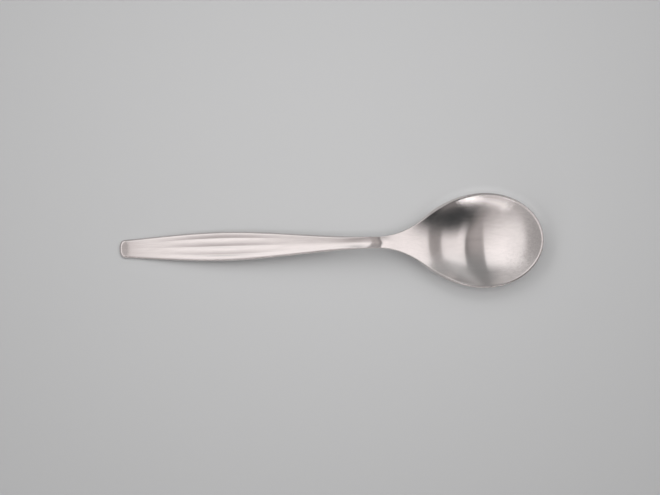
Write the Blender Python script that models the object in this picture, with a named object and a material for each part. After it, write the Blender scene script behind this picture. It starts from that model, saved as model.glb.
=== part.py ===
"""Teaspoon, pressed from one blank of stainless steel.

It lies on its back: the end of the handle towards -X, the tip of the bowl towards +X, +Z up.
Contours run round the top face side by side with the edge. They are lofted over the rounded
edge and back under the spoon, which makes it one closed body.
"""

import math

import bmesh
import bpy
import numpy as np

MM = 0.001

# Lengths along the spoon, which add up to its whole length.
END_TO_WIDEST = 33.2 * MM
WIDEST_TO_NECK = 49.2 * MM
NECK_TO_BOWL = 34.5 * MM  # as far as the widest place of the bowl
BOWL_TO_TIP = 18.6 * MM

# Widths across the spoon, over its rounded edges.
END_WIDTH = 5.8 * MM
END_CORNER = 2.0 * MM  # how far the rounded corners of the end reach along the handle
END_TAPER = 0.072  # widening of each side just past the corners
HANDLE_WIDTH = 9.35 * MM
NECK_WIDTH = 3.85 * MM
NECK_TO_FLARE = 15.7 * MM  # to where the hollow curve of the neck meets the round of the bowl
FLARE_WIDTH = 15.75 * MM
FLARE_SLOPE = 0.76
BOWL_WIDTH = 30.0 * MM

# The top face along the middle of the spoon: how far apart its places lie, and their heights
# over the table. The end of the handle is level, and from the rise to the bend it is straight.
END_TO_LEVEL = 2.4 * MM
LEVEL_TO_RISE = 6.1 * MM
BEND_TO_NECK = 3.2 * MM
NECK_TO_SHOULDER = 5.3 * MM
SHOULDER_TO_WALL = 10.3 * MM  # the back wall of the bowl, where it is steepest
WALL_TO_FOOT = 5.8 * MM
FOOT_TO_DEEPEST = 10.0 * MM
END_HEIGHT = 1.5 * MM
BEND_HEIGHT = 11.25 * MM
NECK_HEIGHT = 11.45 * MM
SHOULDER_HEIGHT = 10.2 * MM
WALL_HEIGHT = 6.69 * MM
FOOT_HEIGHT = 3.4 * MM
DEEPEST_HEIGHT = 0.97 * MM
TIP_HEIGHT = 8.62 * MM
TIP_SLOPE = 0.6

# The rim, at the same places.
SHOULDER_RIM_HEIGHT = 10.25 * MM
WALL_RIM_HEIGHT = 8.15 * MM
FOOT_RIM_HEIGHT = 7.78 * MM
TIP_RIM_SLOPE = 0.06

# Thickness of the metal along the middle, and the border that the rounded edge takes up.
END_GAUGE = 1.7 * MM
HANDLE_GAUGE = 2.1 * MM
NECK_GAUGE = 2.7 * MM
BOWL_GAUGE = 1.12 * MM
TIP_GAUGE = 1.05 * MM
EDGE_GAUGE_SHARE = 0.85  # of the thickness along the middle
HANDLE_BORDER = 0.75 * MM
NECK_BORDER = 0.28 * MM  # as far as the flare
RIM_BORDER = 0.5 * MM

# A trough runs down the top of the handle, deepest before the neck, and ends past it.
HOLLOW_START = 4 * MM  # from the end of the handle
HANDLE_HOLLOW = 0.36 * MM
NECK_HOLLOW_REACH = 14 * MM
NECK_HOLLOW = 0.62 * MM
NECK_HOLLOW_FADE = 6 * MM  # from the deepest place to the neck, and on to where it ends
HOLLOW_SHARPNESS = 3  # a low value rounds the trough evenly, a high one makes it a V

# Grooves lie side by side down the wide part of the handle, and fade out along it.
FLUTES = 3
FLUTE_DEPTH = 0.32 * MM
FLUTE_REACH = 25 * MM

# Sections along each stretch, contours from the middle to the edge, and steps over the edge.
END_SECTIONS = 6
WIDEST_SECTIONS = 11
NECK_SECTIONS = 13
BOWL_SECTIONS = 24
TIP_SECTIONS = 13
TOP_CONTOURS = 12
BACK_CONTOURS = 6
MIDDLE_SHARE = 1 / 24  # of the way from middle to edge, for the contours nearest the middle
EDGE_STEPS = 6
END_SQUARENESS = 0.75  # 1 rounds the corners of the end to an ellipse, less makes them squarer

# Sections stand on the middle line. Where the outline turns round an end, they fan out.
END_FAN_START = 3.2 * MM
END_FAN_STEP = 0.3 * MM
END_FAN_REACH = 14 * MM  # from here on, sections stand square to the middle line
TIP_FAN_LENGTH = 8 * MM

WIDEST = END_TO_WIDEST
NECK = WIDEST + WIDEST_TO_NECK
RISE = END_TO_LEVEL + LEVEL_TO_RISE
BEND = NECK - BEND_TO_NECK
SHOULDER = NECK + NECK_TO_SHOULDER
WALL = SHOULDER + SHOULDER_TO_WALL
FOOT = WALL + WALL_TO_FOOT
DEEPEST = FOOT + FOOT_TO_DEEPEST
FLARE = NECK + NECK_TO_FLARE
BOWL = NECK + NECK_TO_BOWL
LENGTH = BOWL + BOWL_TO_TIP
TIP = LENGTH - RIM_BORDER
HANDLE_SLOPE = (BEND_HEIGHT - END_HEIGHT) / (BEND - RISE + LEVEL_TO_RISE / 2)


def fair(points, first_slope, last_slope):
    """Knots of the cubic curve through the points whose bend changes without a jump."""
    place, value = np.array(points).T
    gap = np.diff(place)
    rise = np.diff(value) / gap
    rows = np.eye(len(place))
    sums = np.zeros(len(place))
    sums[0] = first_slope
    sums[-1] = last_slope
    for i in range(1, len(place) - 1):
        rows[i, i - 1 : i + 2] = gap[i], 2 * (gap[i - 1] + gap[i]), gap[i - 1]
        sums[i] = 3 * (gap[i] * rise[i - 1] + gap[i - 1] * rise[i])
    return np.column_stack((place, value, np.linalg.solve(rows, sums)))


# Curves along the spoon, as knots of place, value and slope.
HALF_WIDTH = (
    (END_CORNER, END_WIDTH / 2, END_TAPER),
    (WIDEST, HANDLE_WIDTH / 2, 0),
    (NECK, NECK_WIDTH / 2, 0),
    (FLARE, FLARE_WIDTH / 2 - NECK_BORDER * (math.hypot(1, FLARE_SLOPE) - 1), FLARE_SLOPE),
    (BOWL, BOWL_WIDTH / 2, 0),
)
BORDER = (
    (NECK - NECK_HOLLOW_REACH, HANDLE_BORDER, 0),
    (NECK, NECK_BORDER, 0),
    (FLARE, NECK_BORDER, 0),
    (BOWL, RIM_BORDER, 0),
)
HOLLOW = (
    (HOLLOW_START, 0, 0),
    (WIDEST, HANDLE_HOLLOW, 0),
    (NECK - NECK_HOLLOW_REACH, HANDLE_HOLLOW, 0),
    (NECK - NECK_HOLLOW_FADE, NECK_HOLLOW, 0),
    (NECK, HANDLE_HOLLOW, 0),
    (NECK + NECK_HOLLOW_FADE, 0, 0),
)
GAUGE = (
    (0, END_GAUGE, 0),
    (WIDEST, HANDLE_GAUGE, 0),
    (NECK, NECK_GAUGE, 0),
    (WALL, BOWL_GAUGE, 0),
    (LENGTH, TIP_GAUGE, 0),
)
BEND_LINE = ((BEND, BEND_HEIGHT, HANDLE_SLOPE), (NECK, NECK_HEIGHT, 0))
MIDDLE_LINE = fair(
    (
        (NECK, NECK_HEIGHT),
        (SHOULDER, SHOULDER_HEIGHT),
        (WALL, WALL_HEIGHT),
        (FOOT, FOOT_HEIGHT),
        (DEEPEST, DEEPEST_HEIGHT),
        (TIP, TIP_HEIGHT),
    ),
    0,
    TIP_SLOPE,
)
RIM_LINE = fair(
    (
        (NECK, NECK_HEIGHT),
        (SHOULDER, SHOULDER_RIM_HEIGHT),
        (WALL, WALL_RIM_HEIGHT),
        (FOOT, FOOT_RIM_HEIGHT),
        (TIP, TIP_HEIGHT),
    ),
    0,
    TIP_RIM_SLOPE,
)


def at(knots, x):
    """Value at x of a curve, which stays level before its first knot and after its last."""
    place, value, slope = np.array(knots).T
    x = np.clip(x, place[0], place[-1])
    i = np.clip(np.searchsorted(place, x, side="right") - 1, 0, len(place) - 2)
    gap = place[i + 1] - place[i]
    t = (x - place[i]) / gap
    start = (1 - t) ** 2 * ((1 + 2 * t) * value[i] + t * gap * slope[i])
    end = t**2 * ((3 - 2 * t) * value[i + 1] - (1 - t) * gap * slope[i + 1])
    return start + end


def height(line, x):
    """Height of the middle line or the rim line, which are one along the handle."""
    straight = at(BEND_LINE, x) - HANDLE_SLOPE * np.maximum(BEND - np.maximum(x, RISE), 0)
    turn = np.clip((RISE - x) / LEVEL_TO_RISE, 0, 1)
    handle = straight - HANDLE_SLOPE * LEVEL_TO_RISE * (turn - turn**2 / 2)
    return np.where(x < NECK, handle, at(line, x))


def half_width(x):
    """Half the width inside the border, past the corners of the end."""
    past = np.clip((x - BOWL) / (TIP - BOWL), 0, 1)
    return (at(HALF_WIDTH, x) - at(BORDER, x)) * np.sqrt(1 - past**2)


def sections():
    """Edge point and foot on the middle line of each section, from the end to the tip."""
    turn = (np.arange(END_SECTIONS) + 0.5) / (END_SECTIONS + 0.5) * math.pi / 2
    corner = 1 - np.cos(turn) ** END_SQUARENESS
    end_x = HANDLE_BORDER + (END_CORNER - HANDLE_BORDER) * corner
    end_y = half_width(END_CORNER) * np.sin(turn) ** END_SQUARENESS
    end_foot = END_FAN_START + END_FAN_STEP * np.arange(END_SECTIONS)

    side_x = np.concatenate(
        (
            np.linspace(END_CORNER, WIDEST, WIDEST_SECTIONS, endpoint=False),
            np.linspace(WIDEST, NECK, NECK_SECTIONS, endpoint=False),
            np.linspace(NECK, BOWL, BOWL_SECTIONS + 1),
        )
    )
    lead = END_FAN_START + END_FAN_STEP * END_SECTIONS - END_CORNER
    left = np.clip(1 - (side_x - END_CORNER) / END_FAN_REACH, 0, 1)
    side_foot = side_x + lead * left**2

    step = np.arange(TIP_SECTIONS) + 1
    turn = (1 - step / (TIP_SECTIONS + 0.5)) * math.pi / 2
    tip_x = BOWL + (TIP - BOWL) * np.cos(turn)
    tip_y = half_width(BOWL) * np.sin(turn)
    tip_foot = BOWL + TIP_FAN_LENGTH * step / TIP_SECTIONS

    edge_x = np.concatenate((end_x, side_x, tip_x))
    edge_y = np.concatenate((end_y, half_width(side_x), tip_y))
    return edge_x, edge_y, np.concatenate((end_foot, side_foot, tip_foot))


def contour(share):
    """The plain top face once round the spoon, at a share of the way from middle to edge."""
    edge_x, edge_y, foot = sections()
    x = foot + (edge_x - foot) * share
    y = edge_y * share
    out = y / np.maximum(half_width(x), y)
    middle = height(MIDDLE_LINE, x)
    z = middle + (height(RIM_LINE, x) - middle) * out**2
    near = np.column_stack((x, y, z))
    return np.concatenate((near, near[::-1] * (1, -1, 1)))


def along(ring):
    """Directions along a closed ring of points."""
    return np.roll(ring, -1, axis=0) - np.roll(ring, 1, axis=0)


def unit(vectors):
    return vectors / np.linalg.norm(vectors, axis=1, keepdims=True)


def square(share):
    """Directions square to the plain top face along a contour."""
    nearby = 0.02
    across = contour(min(share + nearby, 1)) - contour(share - nearby)
    return unit(np.cross(along(contour(share)), across))


def fluted(share):
    """Contour of the top face with the trough and the grooves of the handle.

    The trough is sunk by half its depth, and its sides are raised by the other half.
    """
    ring = contour(share)
    x = ring[:, 0]
    side = math.hypot(1, HOLLOW_SHARPNESS * share) - 1
    trough = side / (math.hypot(1, HOLLOW_SHARPNESS) - 1) - 0.5
    groove = 1 - abs(math.cos(FLUTES * math.pi / 2 * (1 - share)))
    fade = np.clip((x - WIDEST) / FLUTE_REACH, -1, 1) * math.pi / 2
    ring[:, 2] += at(HOLLOW, x) * trough - FLUTE_DEPTH * groove * np.cos(fade) ** 2
    return ring


def underneath(share):
    """Contour of the back, a thickness of metal below the plain top face."""
    ring = contour(share)
    thick = at(GAUGE, ring[:, 0]) * (1 - (1 - EDGE_GAUGE_SHARE) * share**2)
    return ring - square(share) * thick[:, None]


def rounded(top_edge, back_edge):
    """Rings over the edge, half an ellipse that reaches as far out as the border is wide."""
    middle = (top_edge + back_edge) / 2
    out = unit(np.cross(square(1), along(top_edge)))
    level = unit(np.cross((0, 0, 1), along(top_edge)))
    gone = ((middle - top_edge) * level).sum(axis=1)
    reach = (at(BORDER, top_edge[:, 0]) - gone) / (out * level).sum(axis=1)
    rings = []
    for i in range(1, EDGE_STEPS):
        turn = math.pi * (0.5 - i / EDGE_STEPS)
        over = out * reach[:, None] * math.cos(turn)
        rings.append(middle + (top_edge - middle) * math.sin(turn) + over)
    return rings


def lofted(rings):
    """Closed mesh over the rings, with rungs across the first and the last of them."""
    bm = bmesh.new()
    loops = [[bm.verts.new(point) for point in ring] for ring in rings]
    for inner, outer in zip(loops, loops[1:]):
        for i in range(len(inner)):
            bm.faces.new((inner[i - 1], inner[i], outer[i], outer[i - 1]))
    for ring in (loops[0], loops[-1]):
        for i in range(1, len(ring) // 2):
            bm.faces.new((ring[i - 1], ring[i], ring[-1 - i], ring[-i]))
    bmesh.ops.recalc_face_normals(bm, faces=bm.faces)
    mesh = bpy.data.meshes.new("teaspoon")
    bm.to_mesh(mesh)
    bm.free()
    return mesh


def brushed_steel():
    steel = bpy.data.materials.new("brushed_steel")
    steel.use_nodes = True
    shader = steel.node_tree.nodes["Principled BSDF"]
    shader.inputs["Base Color"].default_value = (0.62, 0.6, 0.585, 1)
    shader.inputs["Metallic"].default_value = 1
    shader.inputs["Roughness"].default_value = 0.28
    return steel


for leftover in list(bpy.data.objects):
    bpy.data.objects.remove(leftover)

top_shares = np.maximum(np.linspace(0, 1, TOP_CONTOURS + 1), MIDDLE_SHARE)
back_shares = np.maximum(np.linspace(1, 0, BACK_CONTOURS + 1), MIDDLE_SHARE)
top = [fluted(share) for share in top_shares]
back = [underneath(share) for share in back_shares]
rings = np.array(top + rounded(top[-1], back[0]) + back)

# What would lie below the table is flat: the place that the bowl rests on, and the end's.
rings[:, :, 2] = np.maximum(rings[:, :, 2], 0)
rings[:, :, 0] -= (rings[:, :, 0].min() + rings[:, :, 0].max()) / 2

mesh = lofted(rings)
mesh.polygons.foreach_set("use_smooth", [True] * len(mesh.polygons))
mesh.materials.append(brushed_steel())
parts = bpy.data.collections.new("Teaspoon")
bpy.context.scene.collection.children.link(parts)
parts.objects.link(bpy.data.objects.new("teaspoon", mesh))
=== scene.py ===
import math

import bmesh
import bpy
import numpy as np
from mathutils import Matrix, Vector


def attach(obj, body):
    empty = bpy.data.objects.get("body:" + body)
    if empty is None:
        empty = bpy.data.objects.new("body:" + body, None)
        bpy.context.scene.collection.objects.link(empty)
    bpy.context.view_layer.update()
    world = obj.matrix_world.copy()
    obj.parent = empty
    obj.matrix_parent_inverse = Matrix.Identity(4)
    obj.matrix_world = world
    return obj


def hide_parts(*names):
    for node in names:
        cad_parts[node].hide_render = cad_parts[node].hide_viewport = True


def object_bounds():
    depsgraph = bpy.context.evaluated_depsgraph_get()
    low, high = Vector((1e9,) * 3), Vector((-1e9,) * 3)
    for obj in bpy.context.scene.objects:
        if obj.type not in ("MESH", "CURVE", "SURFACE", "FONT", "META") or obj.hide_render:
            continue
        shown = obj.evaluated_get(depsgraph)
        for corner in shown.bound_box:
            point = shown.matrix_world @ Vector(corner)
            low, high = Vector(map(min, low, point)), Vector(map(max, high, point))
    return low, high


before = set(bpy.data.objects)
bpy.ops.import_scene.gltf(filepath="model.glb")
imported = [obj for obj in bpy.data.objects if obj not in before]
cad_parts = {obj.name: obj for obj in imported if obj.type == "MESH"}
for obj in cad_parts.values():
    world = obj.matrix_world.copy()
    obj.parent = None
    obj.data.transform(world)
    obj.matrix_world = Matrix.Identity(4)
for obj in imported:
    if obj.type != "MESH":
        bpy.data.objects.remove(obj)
cad_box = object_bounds()

# Teaspoon: one blank of stainless steel, rolled thinner at the bowl and pressed between two dies.
# The handle has a rounded border, a hollow top and three soft flutes, and the bowl is a thin
# egg-shaped shell. It is brushed along its length to a satin finish, and rests on two small flats.
MM = 0.001
# Places along the spoon, from the end of the handle.
WIDEST = 33.2 * MM
NECK = 82.4 * MM
BOWL = 116.9 * MM
LENGTH = 135.5 * MM
END_CORNER = 2.0 * MM
END_LEVEL = 2.4 * MM
END_TURN = 8.5 * MM
BEND = NECK - 3.2 * MM
SHOULDER = NECK + 5.3 * MM
WALL = NECK + 15.6 * MM
FLARE = NECK + 15.7 * MM
FOOT = NECK + 21.4 * MM
DEEPEST = NECK + 31.4 * MM
# Borders, hollow, flutes and the heights that more than one curve meets.
HANDLE_BORDER = 0.75 * MM
RIM_BORDER = 0.5 * MM
NECK_BORDER = 0.28 * MM
TIP = LENGTH - RIM_BORDER
FLARE_SLOPE = 0.76
EDGE_GAUGE_SHARE = 0.85
HANDLE_HOLLOW = 0.36 * MM
NECK_HOLLOW = 0.62 * MM
NECK_HOLLOW_REACH = 14 * MM
NECK_HOLLOW_FADE = 6 * MM
HOLLOW_SHARPNESS = 3
FLUTES = 3
FLUTE_DEPTH = 0.32 * MM
FLUTE_REACH = 25 * MM
END_HEIGHT = 1.5 * MM
BEND_HEIGHT = 11.25 * MM
NECK_HEIGHT = 11.45 * MM
TIP_HEIGHT = 8.62 * MM
TIP_SLOPE = 0.6
TIP_RIM_SLOPE = 0.06
HANDLE_SLOPE = (BEND_HEIGHT - END_HEIGHT) / (BEND - (END_LEVEL + END_TURN) / 2)


def fair(points, first_slope, last_slope):
    """Knots of the cubic curve through the points whose bend changes without a jump."""
    place, value = np.array(points).T
    gap = np.diff(place)
    rise = np.diff(value) / gap
    rows = np.eye(len(place))
    sums = np.zeros(len(place))
    sums[0] = first_slope
    sums[-1] = last_slope
    for i in range(1, len(place) - 1):
        rows[i, i - 1 : i + 2] = gap[i], 2 * (gap[i - 1] + gap[i]), gap[i - 1]
        sums[i] = 3 * (gap[i] * rise[i - 1] + gap[i - 1] * rise[i])
    return np.column_stack((place, value, np.linalg.solve(rows, sums)))


# Curves along the spoon, as knots of place, value and slope.
HALF_WIDTH = (
    (END_CORNER, 2.9 * MM, 0.072),
    (WIDEST, 4.675 * MM, 0),
    (NECK, 1.925 * MM, 0),
    (FLARE, 7.875 * MM - NECK_BORDER * (math.hypot(1, FLARE_SLOPE) - 1), FLARE_SLOPE),
    (BOWL, 15.0 * MM, 0),
)
BORDER = (
    (NECK - NECK_HOLLOW_REACH, HANDLE_BORDER, 0),
    (NECK, NECK_BORDER, 0),
    (FLARE, NECK_BORDER, 0),
    (BOWL, RIM_BORDER, 0),
)
HOLLOW = (
    (4 * MM, 0, 0),
    (WIDEST, HANDLE_HOLLOW, 0),
    (NECK - NECK_HOLLOW_REACH, HANDLE_HOLLOW, 0),
    (NECK - NECK_HOLLOW_FADE, NECK_HOLLOW, 0),
    (NECK, HANDLE_HOLLOW, 0),
    (NECK + NECK_HOLLOW_FADE, 0, 0),
)
GAUGE = (
    (0, 1.7 * MM, 0),
    (WIDEST, 2.1 * MM, 0),
    (NECK, 2.7 * MM, 0),
    (WALL, 1.12 * MM, 0),
    (LENGTH, 1.05 * MM, 0),
)
BEND_LINE = ((BEND, BEND_HEIGHT, HANDLE_SLOPE), (NECK, NECK_HEIGHT, 0))
MIDDLE_LINE = fair(
    (
        (NECK, NECK_HEIGHT),
        (SHOULDER, 10.2 * MM),
        (WALL, 6.69 * MM),
        (FOOT, 3.4 * MM),
        (DEEPEST, 0.97 * MM),
        (TIP, TIP_HEIGHT),
    ),
    0,
    TIP_SLOPE,
)
RIM_LINE = fair(
    (
        (NECK, NECK_HEIGHT),
        (SHOULDER, 10.25 * MM),
        (WALL, 8.15 * MM),
        (FOOT, 7.78 * MM),
        (TIP, TIP_HEIGHT),
    ),
    0,
    TIP_RIM_SLOPE,
)


def at(knots, x):
    """Value at x of a curve, which stays level before its first knot and after its last."""
    place, value, slope = np.array(knots).T
    x = np.clip(x, place[0], place[-1])
    i = np.clip(np.searchsorted(place, x, side="right") - 1, 0, len(place) - 2)
    gap = place[i + 1] - place[i]
    t = (x - place[i]) / gap
    start = (1 - t) ** 2 * ((1 + 2 * t) * value[i] + t * gap * slope[i])
    end = t**2 * ((3 - 2 * t) * value[i + 1] - (1 - t) * gap * slope[i + 1])
    return start + end


def height(line, x):
    """Height of the middle line or the rim line, with the handle before the neck."""
    straight = at(BEND_LINE, x) - HANDLE_SLOPE * np.maximum(BEND - np.maximum(x, END_TURN), 0)
    t = np.clip((END_TURN - x) / (END_TURN - END_LEVEL), 0, 1)
    handle = straight - HANDLE_SLOPE * (END_TURN - END_LEVEL) * (t - t**2 / 2)
    return np.where(x < NECK, handle, at(line, x))


def half_width(x):
    """Half the width inside the border, past the corners of the end."""
    past = np.clip((x - BOWL) / (TIP - BOWL), 0, 1)
    return (at(HALF_WIDTH, x) - at(BORDER, x)) * np.sqrt(1 - past**2)


# Sections along each stretch. They fan out where the outline turns round an end.
END_SECTIONS = 14
WIDEST_SECTIONS = 26
NECK_SECTIONS = 40
BOWL_SECTIONS = 66
TIP_SECTIONS = 34
END_SQUARENESS = 0.75
END_FAN_START = 3.2 * MM
END_FAN_LENGTH = 1.8 * MM
END_FAN_LEAD = 3.0 * MM
END_FAN_REACH = 14 * MM
TIP_FAN_LENGTH = 8 * MM


def sections():
    """Edge point and foot on the middle line of each section, from the end to the tip."""
    turn = (np.arange(END_SECTIONS) + 0.5) / (END_SECTIONS + 0.5) * math.pi / 2
    corner = 1 - np.cos(turn) ** END_SQUARENESS
    end_x = HANDLE_BORDER + (END_CORNER - HANDLE_BORDER) * corner
    end_y = half_width(END_CORNER) * np.sin(turn) ** END_SQUARENESS
    end_foot = END_FAN_START + END_FAN_LENGTH * np.arange(END_SECTIONS) / END_SECTIONS
    side_x = np.concatenate(
        (
            np.linspace(END_CORNER, WIDEST, WIDEST_SECTIONS, endpoint=False),
            np.linspace(WIDEST, NECK, NECK_SECTIONS, endpoint=False),
            np.linspace(NECK, BOWL, BOWL_SECTIONS + 1),
        )
    )
    left = np.clip(1 - (side_x - END_CORNER) / END_FAN_REACH, 0, 1)
    side_foot = side_x + END_FAN_LEAD * left**2
    step = np.arange(TIP_SECTIONS) + 1
    turn = (1 - step / (TIP_SECTIONS + 0.5)) * math.pi / 2
    tip_x = BOWL + (TIP - BOWL) * np.cos(turn)
    tip_y = half_width(BOWL) * np.sin(turn)
    tip_foot = BOWL + TIP_FAN_LENGTH * step / TIP_SECTIONS
    edge_x = np.concatenate((end_x, side_x, tip_x))
    edge_y = np.concatenate((end_y, half_width(side_x), tip_y))
    return edge_x, edge_y, np.concatenate((end_foot, side_foot, tip_foot))


def contour(share):
    """The plain top face once round the spoon, at a share of the way from middle to edge."""
    edge_x, edge_y, foot = sections()
    x = foot + (edge_x - foot) * share
    y = edge_y * share
    out = y / np.maximum(half_width(x), y)
    middle = height(MIDDLE_LINE, x)
    z = middle + (height(RIM_LINE, x) - middle) * out**2
    near = np.column_stack((x, y, z))
    return np.concatenate((near, near[::-1] * (1, -1, 1)))


def along(ring):
    """Direction along a ring at each of its points."""
    return np.roll(ring, -1, axis=0) - np.roll(ring, 1, axis=0)


def unit(vectors):
    """Vectors brought to a length of one."""
    return vectors / np.linalg.norm(vectors, axis=1, keepdims=True)


NEARBY = 0.01


def square(share):
    """Directions square to the plain top face along a contour."""
    across = contour(min(share + NEARBY, 1)) - contour(share - NEARBY)
    return unit(np.cross(along(contour(share)), across))


def fluted(share):
    """Contour of the top face with the hollow and the flutes of the handle."""
    ring = contour(share)
    x = ring[:, 0]
    groove = 1 - abs(math.cos(FLUTES * math.pi / 2 * (1 - share)))
    fade = np.clip((x - WIDEST) / FLUTE_REACH, -1, 1) * math.pi / 2
    trough = (math.hypot(1, HOLLOW_SHARPNESS * share) - 1) / (math.hypot(1, HOLLOW_SHARPNESS) - 1)
    ring[:, 2] += at(HOLLOW, x) * (trough - 0.5) - FLUTE_DEPTH * groove * np.cos(fade) ** 2
    return ring


def underneath(share):
    """Contour of the back, a thickness of metal below the plain top face."""
    ring = contour(share)
    thick = at(GAUGE, ring[:, 0]) * (1 - (1 - EDGE_GAUGE_SHARE) * share**2)
    return ring - square(share) * thick[:, None]


def rounded(top_edge, back_edge, steps):
    """Rings over the edge, half an ellipse that reaches as far out as the border is wide."""
    middle = (top_edge + back_edge) / 2
    out = unit(np.cross(square(1), along(top_edge)))
    level = unit(np.cross((0, 0, 1), along(top_edge)))
    gone = ((middle - top_edge) * level).sum(axis=1)
    reach = (at(BORDER, top_edge[:, 0]) - gone) / (out * level).sum(axis=1)
    rings = []
    for i in range(1, steps):
        turn = math.pi * (0.5 - i / steps)
        over = out * reach[:, None] * math.cos(turn)
        rings.append(middle + (top_edge - middle) * math.sin(turn) + over)
    return rings


TOP_CONTOURS = 36
EDGE_STEPS = 14
BACK_CONTOURS = 16
top = [fluted((i + 1) / TOP_CONTOURS) for i in range(TOP_CONTOURS)]
back = [underneath(1 - i / BACK_CONTOURS) for i in range(BACK_CONTOURS)]
rings = np.array(top + rounded(top[-1], back[0], EDGE_STEPS) + back)
rings[:, :, 2] = np.maximum(rings[:, :, 2], 0)
rings[:, :, 0] -= (rings[:, :, 0].min() + rings[:, :, 0].max()) / 2
rings[:, :, 0] *= cad_box[1][0] / rings[:, :, 0].max()

bpy.ops.object.select_all(action="DESELECT")
bpy.ops.mesh.primitive_circle_add(vertices=rings.shape[1], radius=LENGTH)
spoon = bpy.context.object
spoon.name = "teaspoon_body"
bpy.ops.object.mode_set(mode="EDIT")
for ring in rings[1:]:
    bpy.ops.mesh.extrude_edges_move()
bpy.ops.object.mode_set(mode="OBJECT")
spoon.data.vertices.foreach_set("co", rings.ravel())

# Rungs close the middle of the top and of the back, across the first ring and the last.
shell = bmesh.new()
shell.from_mesh(spoon.data)
shell.verts.ensure_lookup_table()
count = rings.shape[1]
for first in (0, len(shell.verts) - count):
    ring = shell.verts[first : first + count]
    for i in range(1, count // 2):
        shell.faces.new((ring[i - 1], ring[i], ring[-1 - i], ring[-i]))
bmesh.ops.recalc_face_normals(shell, faces=shell.faces)


def order(face):
    """A number of its own for each face, from its first and last point."""
    points = [point.index for point in face.verts]
    return min(points) * len(shell.verts) + max(points)


# Extruding lists the faces differently from run to run, so they are put in order.
shell.faces.sort(key=order)
shell.to_mesh(spoon.data)
shell.free()
spoon.data.polygons.foreach_set("use_smooth", [True] * len(spoon.data.polygons))

# The map of the grain runs across the spoon first, so the brushed lines lie along its length.
GRAIN_SCALE = 10
grain = spoon.data.uv_layers.new(name="grain")
places = np.array([spoon.data.vertices[loop.vertex_index].co[:] for loop in spoon.data.loops])
grain_map = np.ascontiguousarray(places[:, (1, 0)] * GRAIN_SCALE + 0.5, np.float32)
grain.data.foreach_set("uv", grain_map.ravel())

STEEL_COLOUR = (0.73, 0.682, 0.668)
STEEL_ANISOTROPY = 0.8
BRUSH_LINES = (25, 2200, 2200)
BRUSH_STREAKS = (9, 420, 420)
BRUSH_SPAN = (0.3, 0.7)
LINE_ROUGHNESS = (0.16, 0.195)
LINE_SHADE = (0.975, 1.025)
LINE_HEIGHT = 0.002 * MM
LINE_RELIEF = 0.3
STREAK_SHADE = (0.985, 1.015)
# Painted shade and highlight along the spoon: places in mm from its middle, and the share of the
# colour there, painted darkest at the end of the handle and lightest over the shoulder.
PAINTED_SHADE_ALONG = ((-66, 0.815), (-46, 0.9), (-22, 0.92), (8, 0.925), (18, 1), (26, 1), (35, 0.9))
MARKS_PLACE = (60.5 * MM, -7 * MM, 5 * MM)
MARKS_REACH = (2 * MM, 8 * MM)
MARK_SCALE = 1400
MARK_SPAN = (0.5, 0.62)
MARK_SHADE = 0.945

steel = bpy.data.materials.new("brushed_steel")
steel.use_nodes = True
tree = steel.node_tree
shader = tree.nodes["Principled BSDF"]
shader.inputs["Metallic"].default_value = 1
shader.inputs["Anisotropic"].default_value = STEEL_ANISOTROPY
on_spoon = tree.nodes.new("ShaderNodeTexCoord")


def brushing(scale, detail):
    """Noise drawn out along the spoon, as a brush leaves it."""
    drawn = tree.nodes.new("ShaderNodeMapping")
    drawn.inputs["Scale"].default_value = scale
    noise = tree.nodes.new("ShaderNodeTexNoise")
    noise.inputs["Scale"].default_value = 1
    noise.inputs["Detail"].default_value = detail
    tree.links.new(on_spoon.outputs["Object"], drawn.inputs["Vector"])
    tree.links.new(drawn.outputs["Vector"], noise.inputs["Vector"])
    return noise.outputs["Fac"]


def spread(tree, value, start, stop, low, high):
    """A value taken from one span to another, with soft ends."""
    span = tree.nodes.new("ShaderNodeMapRange")
    span.interpolation_type = "SMOOTHSTEP"
    span.inputs["From Min"].default_value = start
    span.inputs["From Max"].default_value = stop
    span.inputs["To Min"].default_value = low
    span.inputs["To Max"].default_value = high
    tree.links.new(value, span.inputs["Value"])
    return span.outputs["Result"]


def times(tree, first, second):
    """Two values multiplied."""
    both = tree.nodes.new("ShaderNodeMath")
    both.operation = "MULTIPLY"
    tree.links.new(first, both.inputs[0])
    tree.links.new(second, both.inputs[1])
    return both.outputs["Value"]


def shaded(tree, colour, share):
    """A colour made lighter or darker by a share."""
    scaled = tree.nodes.new("ShaderNodeVectorMath")
    scaled.operation = "SCALE"
    scaled.inputs[0].default_value = colour
    tree.links.new(share, scaled.inputs["Scale"])
    return scaled.outputs["Vector"]


lines = brushing(BRUSH_LINES, detail=3)
streaks = brushing(BRUSH_STREAKS, detail=2)
line_shade = spread(tree, lines, *BRUSH_SPAN, *LINE_SHADE)
streak_shade = spread(tree, streaks, *BRUSH_SPAN, *STREAK_SHADE)

along_spoon = tree.nodes.new("ShaderNodeSeparateXYZ")
tree.links.new(on_spoon.outputs["Object"], along_spoon.inputs["Vector"])
from_end = tree.nodes.new("ShaderNodeMapRange")
from_end.inputs["From Min"].default_value = cad_box[0][0]
from_end.inputs["From Max"].default_value = cad_box[1][0]
tree.links.new(along_spoon.outputs["X"], from_end.inputs["Value"])
# A ramp that paints shade and highlight into the steel's colour along the spoon.
painted_shade_ramp = tree.nodes.new("ShaderNodeValToRGB")
painted_shade_ramp.color_ramp.interpolation = "EASE"
while len(painted_shade_ramp.color_ramp.elements) < len(PAINTED_SHADE_ALONG):
    painted_shade_ramp.color_ramp.elements.new(1)
for element, (place, grey) in zip(painted_shade_ramp.color_ramp.elements, PAINTED_SHADE_ALONG):
    element.position = 0.5 + place * MM / LENGTH
    element.color = (grey, grey, grey, 1)
tree.links.new(from_end.outputs["Result"], painted_shade_ramp.inputs["Fac"])

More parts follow.
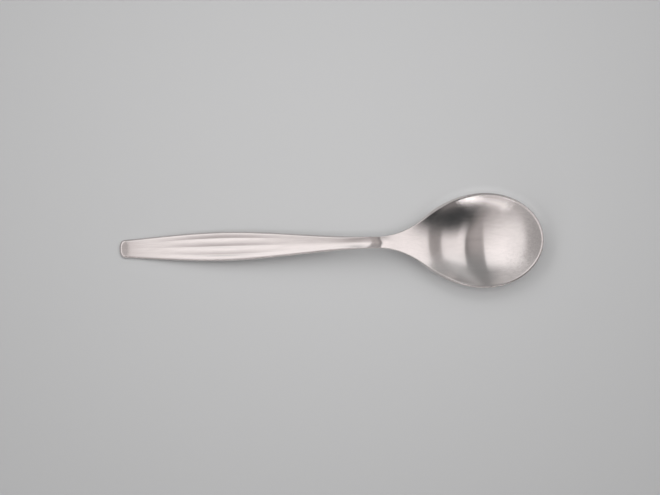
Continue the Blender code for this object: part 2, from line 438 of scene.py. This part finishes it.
# Faint dried marks on the side of the bowl.
from_marks = tree.nodes.new("ShaderNodeVectorMath")
from_marks.operation = "DISTANCE"
from_marks.inputs[1].default_value = MARKS_PLACE
tree.links.new(on_spoon.outputs["Object"], from_marks.inputs[0])
spots = brushing((MARK_SCALE, MARK_SCALE, MARK_SCALE), detail=1)
spot_share = times(
    tree,
    spread(tree, spots, *MARK_SPAN, 0, 1),
    spread(tree, from_marks.outputs["Value"], *MARKS_REACH, 1, 0),
)
mark_shade = spread(tree, spot_share, 0, 1, 1, MARK_SHADE)

brush_shade = times(tree, line_shade, streak_shade)
# The painted shade and highlight along the spoon, times the faint marks on the bowl.
painted_and_mark_shade = times(tree, painted_shade_ramp.outputs["Color"], mark_shade)
shade = times(tree, brush_shade, painted_and_mark_shade)
tree.links.new(shaded(tree, STEEL_COLOUR, shade), shader.inputs["Base Color"])
tree.links.new(spread(tree, lines, *BRUSH_SPAN, *LINE_ROUGHNESS), shader.inputs["Roughness"])
relief = tree.nodes.new("ShaderNodeBump")
relief.inputs["Strength"].default_value = LINE_RELIEF
relief.inputs["Distance"].default_value = LINE_HEIGHT
tree.links.new(lines, relief.inputs["Height"])
tree.links.new(relief.outputs["Normal"], shader.inputs["Normal"])
tangent = tree.nodes.new("ShaderNodeTangent")
tangent.direction_type = "UV_MAP"
tangent.uv_map = "grain"
tree.links.new(tangent.outputs["Tangent"], shader.inputs["Tangent"])

spoon.data.materials.clear()
spoon.data.materials.append(steel)
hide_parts("teaspoon")
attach(spoon, "root")

# Floor: a wide sheet of pale grey matt paper that the spoon lies on, with a painted pool of light
# round the spoon that fades to painted shade further out, and painted light close round the bowl.
FLOOR_SIZE = 6
PALE_GREY = (0.578, 0.58, 0.582)
# The painted pool of light: palest at this place, and painted darker out to its reach.
LIGHT_POOL_MIDDLE = (0, 31 * MM, 0)
LIGHT_POOL_REACH = 220 * MM
POOL_OUTER_SHADE = 0.75
PAPER_ROUGHNESS = 0.9
PAPER_SHEEN = 0.1
BOWL_PLACE = (49 * MM, 0, 0)
BOWL_SPAN = (19 * MM, 15.2 * MM, 1)
BOWL_LIFT = 1.22
BOWL_LIFT_REACH = (1, 1.22)

bpy.ops.object.select_all(action="DESELECT")
bpy.ops.mesh.primitive_plane_add(size=FLOOR_SIZE)
floor = bpy.context.object
floor.name = "floor"
paper = bpy.data.materials.new("pale_paper")
paper.use_nodes = True
tree = paper.node_tree
shader = tree.nodes["Principled BSDF"]
shader.inputs["Roughness"].default_value = PAPER_ROUGHNESS
shader.inputs["Specular IOR Level"].default_value = PAPER_SHEEN
on_floor = tree.nodes.new("ShaderNodeTexCoord")
# Painted pool of light: the paper is painted paler near the middle of the pool and darker further
# out.
away = tree.nodes.new("ShaderNodeVectorMath")
away.operation = "DISTANCE"
away.inputs[1].default_value = LIGHT_POOL_MIDDLE
tree.links.new(on_floor.outputs["Object"], away.inputs[0])
painted_light_pool = spread(tree, away.outputs["Value"], 0, LIGHT_POOL_REACH, 1, POOL_OUTER_SHADE)
# The paper is painted a little paler close round the bowl, to soften the shadow there.
from_bowl = tree.nodes.new("ShaderNodeVectorMath")
from_bowl.operation = "SUBTRACT"
from_bowl.inputs[1].default_value = BOWL_PLACE
in_spans = tree.nodes.new("ShaderNodeVectorMath")
in_spans.operation = "DIVIDE"
in_spans.inputs[1].default_value = BOWL_SPAN
spans = tree.nodes.new("ShaderNodeVectorMath")
spans.operation = "LENGTH"
tree.links.new(on_floor.outputs["Object"], from_bowl.inputs[0])
tree.links.new(from_bowl.outputs["Vector"], in_spans.inputs[0])
tree.links.new(in_spans.outputs["Vector"], spans.inputs[0])
bowl_shade = spread(tree, spans.outputs["Value"], *BOWL_LIFT_REACH, BOWL_LIFT, 1)
paper_colour = shaded(tree, PALE_GREY, times(tree, painted_light_pool, bowl_shade))
tree.links.new(paper_colour, shader.inputs["Base Color"])
floor.data.materials.append(paper)

# Boards: soft light boards hung level above the spoon, for the steel to mirror. Two broad ones
# lie left and right of a gap, and a small one fills the left front corner.
BOARD_HEIGHT = 0.9
BOARD_COLOUR = (1, 0.985, 0.992)
ENERGY_PER_AREA = 4
LEFT_LIGHT = 0.69
LEFT_TURN = math.radians(1.7)
CORNER_LIGHT = 2.1
RIGHT_LIGHT = 0.54
RIGHT_TURN = math.radians(-6.6)
RIGHT_BACK = ((0.9, 1.76), (0.9, 1.28), 0)


def board(name, low, high, tall, radiance, fades, turn=0):
    """A level board between two corners, all turned about the upright line through the origin.

    Each fade dims it to a share of its light at its first point, and not at all at its second.
    """
    data = bpy.data.lights.new(name, "AREA")
    data.shape = "RECTANGLE"
    data.size = high[0] - low[0]
    data.size_y = high[1] - low[1]
    data.energy = ENERGY_PER_AREA * radiance * data.size * data.size_y
    data.color = BOARD_COLOUR
    data.use_nodes = True
    tree = data.node_tree
    where = tree.nodes.new("ShaderNodeNewGeometry")
    strength = None
    for start, stop, share in fades:
        run = Vector(stop) - Vector(start)
        spot = tree.nodes.new("ShaderNodeVectorMath")
        spot.operation = "MULTIPLY_ADD"
        spot.inputs[1].default_value = (data.size, data.size_y, 0)
        spot.inputs[2].default_value = (low[0] - start[0], low[1] - start[1], 0)
        step = tree.nodes.new("ShaderNodeVectorMath")
        step.operation = "DOT_PRODUCT"
        step.inputs[1].default_value = (*(run / run.length_squared), 0)
        tree.links.new(where.outputs["Parametric"], spot.inputs[0])
        tree.links.new(spot.outputs["Vector"], step.inputs[0])
        fade = spread(tree, step.outputs["Value"], 0, 1, share, 1)
        strength = times(tree, strength, fade) if strength else fade
    tree.links.new(strength, tree.nodes["Emission"].inputs["Strength"])
    lamp = bpy.data.objects.new(name, data)
    centre = Vector(((low[0] + high[0]) / 2, (low[1] + high[1]) / 2, tall))
    lamp.location = Matrix.Rotation(turn, 3, "Z") @ centre
    lamp.rotation_euler = (0, 0, turn)
    lamp.visible_camera = False
    bpy.context.scene.collection.objects.link(lamp)
    return lamp


board(
    "board_left",
    (-1.07, -1.45),
    (-0.135, 1.8),
    BOARD_HEIGHT,
    LEFT_LIGHT,
    (
        ((-0.128, -1.12), (-1.123, -0.064), 0),
        ((-0.5, 1.8), (-0.5, 0.87), 0),
        ((-1.07, 0), (-0.45, 0), 0.77),
    ),
    LEFT_TURN,
)
board(
    "board_corner",
    (-0.96, -1.75),
    (-0.62, -0.5),
    BOARD_HEIGHT,
    CORNER_LIGHT,
    (
        ((-0.62, -1), (-0.82, -1), 0),
        ((-0.9, -0.5), (-0.9, -1.15), 0),
        ((-0.9, -1.75), (-0.9, -1.45), 0),
    ),
)
for name, near, far, front, full in (
    ("board_right_inner", 0.328, 0.6, -1, 0.05),
    ("board_right_outer", 0.6, 1.55, -0.76, 0.26),
):
    board(
        name,
        (near, front),
        (far, RIGHT_BACK[0][1]),
        BOARD_HEIGHT,
        RIGHT_LIGHT,
        (((0.9, front), (0.9, full), 0), RIGHT_BACK),
        RIGHT_TURN,
    )

# Front strip: a slim bright lamp, leaning up from low on the right in front to higher on the left,
# which draws the bright line along the far side of the bowl.
STRIP_LIGHT = 8.6
STRIP_LOW = Vector((0.345, -0.730, 0.043))
STRIP_HIGH = Vector((-0.265, -0.568, 0.323))
STRIP_AIM = Vector((0.045, 0.012, 0.007))
strip = board(
    "strip_front",
    (-0.011, -0.35),
    (0.011, 0.35),
    0,
    STRIP_LIGHT,
    (
        ((0, -0.06), (0, 0.18), 0.36),
        ((0, -0.35), (0, -0.28), 0),
        ((0, 0.36), (0, 0.29), 0.6),
    ),
)
strip.location = (STRIP_LOW + STRIP_HIGH) / 2
lengthwise = (STRIP_LOW - STRIP_HIGH).normalized()
outwards = (strip.location - STRIP_AIM).normalized()
crosswise = lengthwise.cross(outwards).normalized()
outwards = crosswise.cross(lengthwise)
strip.rotation_euler = Matrix((crosswise, lengthwise, outwards)).transposed().to_euler()

# Overhead lamp: a broad soft lamp high above and a little behind, which lights the floor and
# lays a soft shadow in front of the spoon. The steel mirrors the boards instead of it.
OVERHEAD_HEIGHT = 1.4
OVERHEAD_LIGHT = 1.9
OVERHEAD_COLOUR = (1, 1, 1)
overhead = board(
    "lamp_overhead",
    (-1, -0.35),
    (1, 1.7),
    OVERHEAD_HEIGHT,
    OVERHEAD_LIGHT,
    (((0, 1.7), (0, 0.2), 0),),
)
overhead.data.color = OVERHEAD_COLOUR
overhead.visible_glossy = False

# Room: plain grey walls, which show only in the steel and behind the floor. The back is darkest in
# the middle. The front has a dark line a little right of straight above, and a dark corner on the
# right.
BLUE_WARMTH = 1.2
BACK_SPAN = (0.2, 0.9)
DARK_CORNER = (0.05, 0.056, 0.058, 1)
CORNER_DIRECTION = (0.52, -0.76, 0.39)
CORNER_SPAN = (0.66, 1)
OFF_FLOOR_SPAN = (0.08, 0.23)
CORNER_AT_FLOOR = 0.25
# Each place on a wall: its lean from straight above in degrees, its grey and its warmth.
FRONT_WALLS = (
    (-57, 0.47, 0.01),
    (-35, 0.53, 0.035),
    (-22, 0.54, 0.035),
    (-11, 0.51, 0.045),
    (0, 0.53, 0.05),
    (7, 0.48, 0.05),
    (12.5, 0.41, 0.05),
    (15, 0.27, 0.05),
    (18.5, 0.25, 0.05),
    (20.5, 0.48, 0.045),
    (30, 0.53, 0.045),
    (41, 0.48, 0.045),
    (62, 0.42, 0.045),
)
BACK_WALLS = (
    (-57, 0.65, 0),
    (-42, 0.63, 0),
    (-34, 0.5, 0),
    (-24, 0.39, -0.02),
    (-12, 0.33, -0.03),
    (12, 0.33, -0.03),
    (24, 0.38, -0.03),
    (34, 0.48, -0.03),
    (48, 0.62, -0.03),
    (60, 0.62, -0.03),
    (66, 0.46, -0.03),
)
world = bpy.data.worlds.new("studio")
bpy.context.scene.world = world
world.cycles_visibility.diffuse = False
world.use_nodes = True
tree = world.node_tree
around = tree.nodes.new("ShaderNodeTexCoord")


def facing(direction):
    """How far the way looked in turns towards a direction: 1 along it, -1 against it."""
    turned = tree.nodes.new("ShaderNodeVectorMath")
    turned.operation = "DOT_PRODUCT"
    turned.inputs[1].default_value = direction
    tree.links.new(around.outputs["Generated"], turned.inputs[0])
    return turned.outputs["Value"]


lean = tree.nodes.new("ShaderNodeMath")
lean.operation = "ARCTAN2"
tree.links.new(facing((1, 0, 0)), lean.inputs[0])
tree.links.new(facing((0, 0, 1)), lean.inputs[1])
across = tree.nodes.new("ShaderNodeMapRange")
across.inputs["From Min"].default_value = -math.pi / 2
across.inputs["From Max"].default_value = math.pi / 2
tree.links.new(lean.outputs["Value"], across.inputs["Value"])


def walls(greys):
    """The greys of the walls, from the left over the top to the right."""
    ramp = tree.nodes.new("ShaderNodeValToRGB")
    while len(ramp.color_ramp.elements) < len(greys):
        ramp.color_ramp.elements.new(1)
    for element, (degrees, grey, warmth) in zip(ramp.color_ramp.elements, greys):
        element.position = 0.5 + degrees / 180
        element.color = (grey, grey * (1 - warmth), grey * (1 - BLUE_WARMTH * warmth), 1)
    tree.links.new(across.outputs["Result"], ramp.inputs["Fac"])
    return ramp.outputs["Color"]


room = tree.nodes.new("ShaderNodeMixRGB")
tree.links.new(spread(tree, facing((0, 1, 0)), *BACK_SPAN, 0, 1), room.inputs["Fac"])
tree.links.new(walls(FRONT_WALLS), room.inputs["Color1"])
tree.links.new(walls(BACK_WALLS), room.inputs["Color2"])
# The front darkens towards the right, but hardly where the walls come down to the floor.
corner = tree.nodes.new("ShaderNodeMixRGB")
to_corner = spread(tree, facing(CORNER_DIRECTION), *CORNER_SPAN, 0, 1)
off_floor = spread(tree, facing((0, 0, 1)), *OFF_FLOOR_SPAN, CORNER_AT_FLOOR, 1)
tree.links.new(times(tree, to_corner, off_floor), corner.inputs["Fac"])
tree.links.new(room.outputs["Color"], corner.inputs["Color1"])
corner.inputs["Color2"].default_value = DARK_CORNER
tree.links.new(corner.outputs["Color"], tree.nodes["Background"].inputs["Color"])

# Camera: a long lens straight above the spoon, turned and tipped a little, so that the spoon lies
# in the picture as it does in the photograph.
VIEW_PIXELS = 660
PIXEL_SIZE = 0.3193
VIEW_WIDTH = VIEW_PIXELS * PIXEL_SIZE * MM
VIEW_DISTANCE = 1.0
VIEW_END = 20
VIEW_TIP = math.radians(2)
VIEW_TURN = math.radians(-1.257)
VIEW_AIM = Vector((-0.31, -1.1, 5)) * MM
SENSOR = 36
camera_data = bpy.data.cameras.new("camera")
camera_data.sensor_width = SENSOR
camera_data.lens = SENSOR * VIEW_DISTANCE / VIEW_WIDTH
camera_data.clip_end = VIEW_END
camera = bpy.data.objects.new("camera", camera_data)
camera.rotation_euler = (VIEW_TIP, 0, VIEW_TURN)
backwards = camera.rotation_euler.to_matrix() @ Vector((0, 0, 1))
camera.location = VIEW_AIM + backwards * VIEW_DISTANCE
bpy.context.scene.collection.objects.link(camera)
bpy.context.scene.camera = camera
bpy.context.scene.view_settings.view_transform = "Standard"
